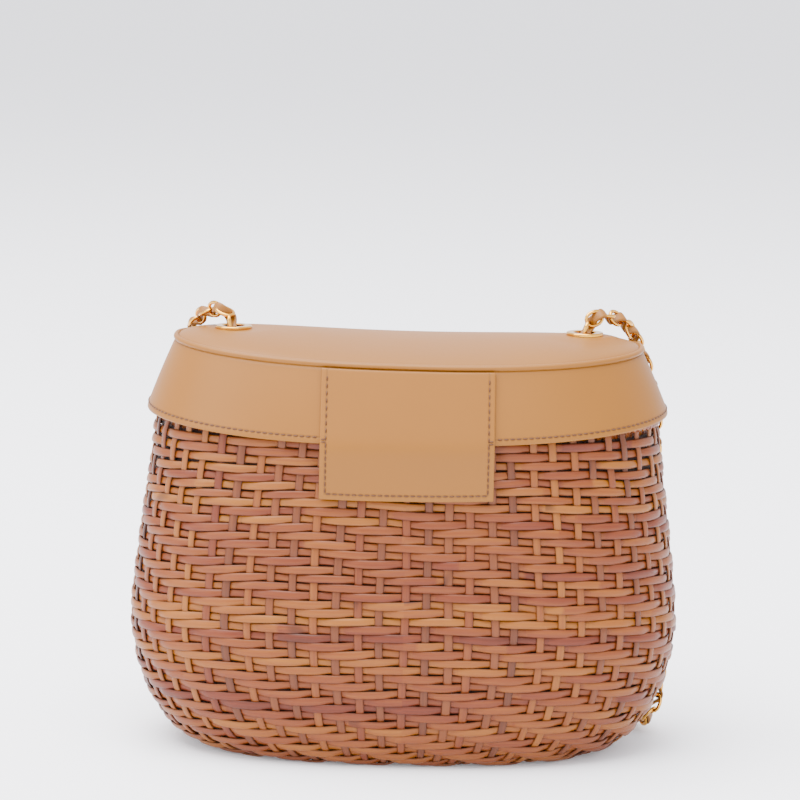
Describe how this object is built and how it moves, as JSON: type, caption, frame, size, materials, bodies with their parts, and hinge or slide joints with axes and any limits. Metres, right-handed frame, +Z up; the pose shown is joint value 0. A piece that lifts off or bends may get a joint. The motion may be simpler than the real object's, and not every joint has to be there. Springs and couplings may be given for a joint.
{
  "type": "woven basket box bag",
  "caption": "Small hard-lidded woven cane box bag with a leather lid, a leather hinge, a push lock and a chain strap.",
  "frame": {"origin": "on the floor, under the middle of the basket", "axes": "+Z up, +X along the bag's length, -Y the hinge side, +Y the lock side"},
  "size_m": [0.2224, 0.1893, 0.1791],
  "materials": {
    "cane": "satin",
    "tan_leather": "satin",
    "board": "matte",
    "lining": "matte",
    "gold_metal": "polished",
    "spring_steel": "satin"
  },
  "bodies": {
    "basket": {"woven_basket": "cane", "rim_border": "cane", "base_board": "board", "basket_lining": "lining", "rim_collar": "tan_leather", "lock_back_plate": "gold_metal", "lock_case": "gold_metal", "lock_inner_plate": "gold_metal", "lock_rivets": "gold_metal", "lock_spring": "spring_steel", "hinge_tab": "tan_leather"},
    "lid": {"lid_shell": "board", "lid_band": "tan_leather", "lid_top_panel": "tan_leather", "lid_piping": "tan_leather", "lid_lining": "lining", "eyelet_left": "gold_metal", "eyelet_right": "gold_metal", "eyelet_washer_left": "gold_metal", "eyelet_washer_right": "gold_metal", "anchor_bar_left": "gold_metal", "anchor_bar_right": "gold_metal", "front_tab": "tan_leather", "lock_tongue": "gold_metal", "tongue_rivets": "gold_metal", "chain_strap": "gold_metal"},
    "button": {"lock_button": "gold_metal"}
  },
  "joints": [
    {"name": "lid_hinge", "type": "hinge", "parent": "basket", "child": "lid", "pos_m": [0, -0.0587, 0.1357], "axis": [1, 0, 0], "range_deg": [0, 100], "deforming": ["hinge_tab"]},
    {"name": "lock_press", "type": "slide", "parent": "basket", "child": "button", "axis": [0, -1, 0], "range_m": [0, 0.0015], "stiffness_N_per_m": 300, "springref_m": -0.001, "deforming": ["lock_spring"]}
  ]
}
